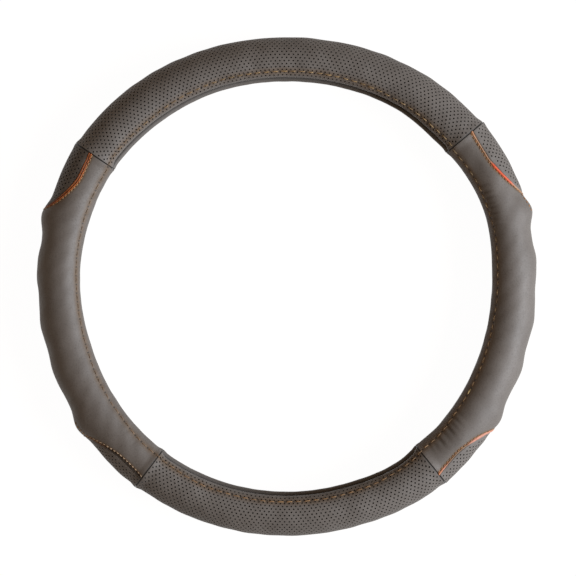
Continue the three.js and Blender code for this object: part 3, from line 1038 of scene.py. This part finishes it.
def dye_beside(names):
    """How near the piping's dye is: 1 at the cord, and 0 from the dye's reach on."""

    def dyed(angle, path):
        edges = [outline_distance(name, cord_half_width(name), angle, path) for name in names]
        return np.clip(1 - np.min(edges, axis=0) / dye_reach, 0, 1) ** dye_fading

    return dyed


for name, ends in grips.items():
    leather_sheet(name, grip_grid(*ends), grip_lift(ends), "smooth_leather", dye_beside(ends))

# %% [markdown]
# The piping is a cord under a strip of leather, set on the outline. Its section is an ellipse that stands
# on the skin, as wide as the cord shows at each place. It puckers a little at every stitch, and where the
# cord is double it has a dip along its middle. A curve with a bevel could draw a plain tube, but not one
# whose section changes.

# %% Piping
piping_sides = 20
piping_height = 1.0 * MM
height_to_width = 1.05
piping_sink = 0.4 * MM
piping_stitch = 3.3 * MM
pucker = 0.05
dip_width = 0.3
dip_shade = 0.8
turns = np.linspace(0, 2 * np.pi, piping_sides, endpoint=False)


def tube_triangles(stations, sides):
    """The triangles of a closed tube: its walls, and a fan at each end."""
    ring = np.arange(sides)
    after = (ring + 1) % sides
    start = (np.arange(stations - 1) * sides)[:, None]
    walls = [np.stack([start + ring, start + sides + ring, start + sides + after], -1),
             np.stack([start + ring, start + sides + after, start + after], -1)]
    last = (stations - 1) * sides
    fan = np.arange(1, sides - 1)
    ends = [np.stack([0 * fan, fan, fan + 1], -1), last + np.stack([0 * fan, fan + 1, fan], -1)]
    return np.concatenate([w.reshape(-1, 3) for w in walls] + ends)


for name, corner in corners.items():
    across, up = np.cos(turns), np.sin(turns)
    dip = corner["dip"] * (up > 0) * np.exp(-((across / dip_width) ** 2))
    halves = []
    for side in (1, -1):
        walked = walked_along(laid_flat(*outline(name, side)))
        puckered = 1 + pucker * np.cos(2 * np.pi * walked / piping_stitch)
        rings = [outline(name, side, cord_half_width(name) * puckered * share) for share in across]
        halves.append((np.stack([r[0] for r in rings], 1), side * np.stack([r[1] for r in rings], 1)))
    ring_into, ring_phi = (np.concatenate([halves[0][k], halves[1][k][-2::-1]]) for k in (0, 1))
    ring_into = np.maximum(ring_into, along(seam_gap / 2))
    angle = corner["seam"] + corner["side"] * ring_into
    thick = np.minimum(piping_height, height_to_width * cord_half_width(name))
    height = np.concatenate([thick, thick[-2::-1]])[:, None] * up * (1 - dip) - piping_sink
    points = leather_point(angle, path_of(angle, ring_phi), height)
    triangles = tube_triangles(len(angle), piping_sides)
    if corner["side"] > 0:
        triangles = triangles[:, ::-1]
    tint = np.repeat(cord_tint(name)[:, None], piping_sides, axis=1)
    # Painted shade: the tint is darker along the dip between the two cords.
    tint[:, :, :3] *= (1 - dip_shade * dip)[None, :, None]
    add_piece(name + "_piping_cord", points.reshape(-1, 3), triangles, name + "_piping", "piping_leather",
              {"tint": np.concatenate([tint, tint[-2::-1]]).reshape(-1, 4)})

# %% [markdown]
# The thread shows as dashes. Each is a short arched tube, sunk into the leather at both ends, with two
# plies that turn round each other. One mesh holds the row beside the front lip, one the row behind, and
# one the short rows that hold the piping.

# %% Stitches
thread_stations = 9
thread_sides = 8
thread_turns = np.linspace(0, 2 * np.pi, thread_sides, endpoint=False)
thread_way = np.sin(np.linspace(-np.pi / 2, np.pi / 2, thread_stations))
thread_chance = np.random.default_rng(11)
thread_bow = 0.20 * MM
thread_taper = 0.93
ply_depth = 0.10
ply_turn = 5
row_waver = 0.4
thread_colours = [(5, (0.27, 0.19, 0.10)), (42, (0.36, 0.27, 0.15)), (90, (0.38, 0.27, 0.13)),
                  (150, (0.22, 0.17, 0.12)), (195, (0.20, 0.15, 0.11)), (230, (0.23, 0.16, 0.10)),
                  (270, (0.38, 0.24, 0.12)), (310, (0.28, 0.19, 0.11))]
loose_end_at = 330.5
loose_end_tint = (0.85, 0.70, 0.36)


def stitch_row(start, end, radius, sink, lift, tint):
    """Stitches from an array of starts to an array of ends, each an angle round the ring and one round
    the section, and each with its colour. The height along a stitch is an arch, sunk at both ends. Gives
    the points, the triangles and the points' colours."""
    flat = np.radians(np.stack([start, end])) * np.array([ring_radius, skin_radius])
    middle, half = flat.mean(axis=0), (flat[1] - flat[0]) / 2
    side = np.stack([-half[:, 1], half[:, 0]], 1) / np.linalg.norm(half, axis=1)[:, None]
    t = thread_way[None, :, None]
    turn = thread_turns[None, None, :]
    girth = radius * np.sqrt(1 - thread_taper * t ** 6) * (1 + ply_depth * np.cos(2 * turn + ply_turn * t))
    aside = girth * np.sin(turn)
    place = (middle[:, None, None, :] + half[:, None, None, :] * t[..., None]
             + side[:, None, None, :] * aside[..., None])
    angle = np.degrees(place[..., 0] / ring_radius)
    phi = np.degrees(place[..., 1] / skin_radius)
    height = thread_bow * (1 - t ** 2) - sink * t ** 6 + girth * np.cos(turn)
    path = path_of(angle, phi)
    points = leather_point(angle, path, lift(angle, path) + height)
    one = tube_triangles(thread_stations, thread_sides)
    size = thread_stations * thread_sides
    triangles = (one[None] + size * np.arange(len(start))[:, None, None]).reshape(-1, 3)
    colours = np.concatenate([tint, np.ones((len(tint), 1))], axis=1)
    return points.reshape(-1, 3), triangles, np.repeat(colours, size, axis=0)


def add_rows(name, rows):
    """Makes one piece of several rows."""
    points, triangles, colours = zip(*rows)
    firsts = np.cumsum([0] + [len(p) for p in points])
    numbered = [t + first for t, first in zip(triangles, firsts)]
    add_piece(name, np.concatenate(points), np.concatenate(numbered), None, "thread",
              {"tint": np.concatenate(colours)})


def thread_tint(angle):
    """The thread's colour round the ring, with a different shade for each stitch."""
    places, colours = zip(*thread_colours)
    mixed = np.stack([np.interp(angle, places, channel, period=360) for channel in zip(*colours)], 1)
    return mixed * thread_chance.uniform(0.70, 1.25, (len(angle), 1))


def ring_row(side, half_step):
    """Where the stitches of a row round the ring start and end. Each is a little longer or shorter than
    the next, and a little aslant."""
    centre = stitch_start + stitch_step * np.arange(stitch_count)
    row = side * row_angle(centre, side) + row_waver * np.cos(centre * 2.3)
    half = half_step * thread_chance.uniform(0.78, 1.12, stitch_count)
    slant = thread_chance.uniform(-0.6, 0.6, stitch_count)
    return np.stack([centre - half, row - slant], 1), np.stack([centre + half, row + slant], 1)


for name, side in (("front_stitches", 1), ("back_stitches", -1)):
    start, end = ring_row(side, 0.37 * stitch_step)
    tint = thread_tint(start[:, 0])
    if side > 0:
        tint[np.argmin(np.abs(turn_from(loose_end_at, (start + end)[:, 0] / 2)))] = loose_end_tint
    add_rows(name, [stitch_row(start, end, 0.38 * MM, 0.5 * MM, sewn_lift, tint)])

# %% [markdown]
# A short row of thicker stitches runs beside each piping, on the grip's side. Two of these rows leave the
# outline before its tip and run on over the thumb rest.

# %% Stitches beside the piping
piping_dash = 2.4 * MM
piping_row_tints = {"upper_right": (0.40, 0.22, 0.10), "upper_left": (0.56, 0.38, 0.22),
                    "lower_left": (0.46, 0.35, 0.24), "lower_right": (0.42, 0.24, 0.12)}
rows_run_on = {"upper_right": 5, "lower_left": 4.5}
leaves_at = 24
ends_at = 17


def piping_row(name, side):
    """Where the stitches beside a crescent's piping start and end."""
    corner = corners[name]
    into, phi = outline(name, side, cord_half_width(name) + corner["row"])
    if name in rows_run_on:
        kept = phi > leaves_at
        into = np.append(into[kept], corner["reach"] + rows_run_on[name])
        phi = np.append(phi[kept], ends_at)
    walked = walked_along(laid_flat(into, phi))
    middle = np.arange(0.6 * piping_stitch, walked[-1] - 0.4 * piping_stitch, piping_stitch)
    return [np.stack([corner["seam"] + corner["side"] * np.interp(end, walked, into),
                      side * np.interp(end, walked, phi)], 1)
            for end in (middle - piping_dash / 2, middle + piping_dash / 2)]


rows = []
for name in corners:
    for side in (1, -1):
        start, end = piping_row(name, side)
        tint = np.array(piping_row_tints[name]) * thread_chance.uniform(0.8, 1.15, (len(start), 1))
        rows.append(stitch_row(start, end, 0.42 * MM, 0.4 * MM, grip_lift((name,)), tint))
add_rows("piping_stitches", rows)

# %% [markdown]
# The rubber ring has a C-shaped section with rounded lips. Fine ribs run round its hollow, so that it
# doesn't turn on the wheel's rim.

# %% Rubber ring
rib_height = 0.35 * MM
rib_count = 17
ribbed_share = 0.85
lip_thinning = 8
ring_columns = 360
outer_shares = np.linspace(-1, 1, 37)
lip_shares = np.linspace(0, 1, 8)[1:-1]
inner_shares = np.linspace(1, -1, 103)


def rubber_section(angle):
    """The closed section of the ring at each angle: outside from the back lip to the front, round the
    front lip, inside with ribs back to the back lip, and round that."""
    lips = {side: lip_angle(angle, side)[:, None] for side in (-1, 1)}
    places = []
    for shares, base, inward in ((outer_shares, rubber_outer, False), (inner_shares, hollow_radius, True)):
        share = shares[None, :]
        phi = np.where(share > 0, share * lips[1], share * lips[-1])
        moulded = rise_over(angle[:, None], phi) + ridge_over(angle[:, None], phi)
        thin = smooth_step((np.abs(phi) - hem_from) / lip_thinning) * (rubber_wall - rubber_lip_wall)
        ribs = rib_height * (1 - np.abs(np.sin(np.pi * rib_count * share))) * (np.abs(share) < ribbed_share)
        radius = base + (thin - ribs if inward else moulded)
        places.append((radius * np.cos(np.radians(phi)), radius * np.sin(np.radians(phi))))
    for side in (1, -1):
        lip = np.radians(lips[side])
        turn = np.radians(180 * lip_shares[None, ::side]) + lip
        places.append((lip_centre * np.cos(lip) + rubber_lip_wall / 2 * np.cos(turn),
                       side * (lip_centre * np.sin(lip) + rubber_lip_wall / 2 * np.sin(turn))))
    outside, inside, front, back = places
    across, up = (np.concatenate([outside[k], front[k], inside[k], back[k]], axis=1) for k in (0, 1))
    return section_place(angle[:, None], across, up)


ring_points = rubber_section(np.linspace(0, 360, ring_columns + 1)[:-1])
count = ring_points.shape[1]
starts = np.arange(ring_columns)[:, None] * count
next_starts = np.roll(starts, -1, axis=0)
here, after = np.arange(count), (np.arange(count) + 1) % count
ring_quads = np.stack([starts + here, next_starts + here, next_starts + after, starts + after], -1)
add_piece("rubber_ring_moulding", ring_points.reshape(-1, 3), triangles_of(ring_quads.reshape(-1, 4)),
          "rubber_ring", "rubber", {})

# %% [markdown]
# The cover lies on a white table, which looks pure white to the camera and in reflections and takes a
# very faint shadow. One soft light stands low to the right, a dim warm world fills the shade, and the
# camera looks straight down, as in the photo.

# %% Table, light and camera
table_half = 3
seen_share = 0.82
table_glow = 1.19


def white_table():
    """A matt white finish that the camera sees as white, and reflections too."""
    f = Finish("white table")
    rays = f.tree.nodes.new("ShaderNodeLightPath")
    seen = Wire(f.tree, rays.outputs["Is Camera Ray"]).maximum(Wire(f.tree, rays.outputs["Is Glossy Ray"]))
    f.set(Base_Color=(0.38, 0.32, 0.27, 1), Roughness=0.9)
    glow = f.node("ShaderNodeEmission", inputs={"Color": (1, 1, 1, 1), "Strength": table_glow})
    mixed = f.node("ShaderNodeMixShader",
                   inputs={0: seen * seen_share, 1: Wire(f.tree, f.shader.outputs[0]), 2: glow})
    join(f.tree, mixed, f.tree.nodes["Material Output"].inputs["Surface"])
    return f.material


def add_to_scene(name, data, place=(0, 0, 0)):
    """Makes an object of a mesh, a lamp or a camera, and puts it in the scene."""
    thing = bpy.data.objects.new(name, data)
    thing.location = place
    bpy.context.scene.collection.objects.link(thing)
    return thing


table_mesh = bpy.data.meshes.new("table")
table_corners = [(x * table_half, y * table_half, 0) for x, y in ((-1, -1), (1, -1), (1, 1), (-1, 1))]
table_mesh.from_pydata(table_corners, [], [(0, 1, 2, 3)])
table_mesh.materials.append(white_table())
table = add_to_scene("table", table_mesh)

lamp = bpy.data.lights.new("key light", "AREA")
lamp.shape = "SQUARE"
lamp.size = 1.6
lamp.energy = 116
lamp.color = (0.96, 1.0, 1.06)
light = add_to_scene("key light", lamp, (2.43, -0.41, 1.48))
light.rotation_euler = mathutils.Vector(light.location).to_track_quat("Z", "Y").to_euler()

world = bpy.data.worlds.new("studio")
world.use_nodes = True
background = world.node_tree.nodes["Background"]
background.inputs["Color"].default_value = (1, 0.72, 0.50, 1)
background.inputs["Strength"].default_value = 0.27
bpy.context.scene.world = world

camera_data = bpy.data.cameras.new("camera")
camera_data.lens = 121.8
camera_data.sensor_width = 36
bpy.context.scene.camera = add_to_scene("camera", camera_data, (0.00089, -0.00139, 1.5189))
bpy.context.scene.view_settings.view_transform = "Standard"
print("camera", camera_data.lens, "mm, light", lamp.energy, "W")

# %% [markdown]
# The last cell counts the triangles of all the pieces.

# %% Triangles in all
print("triangles in all:", sum(piece_triangles.values()))
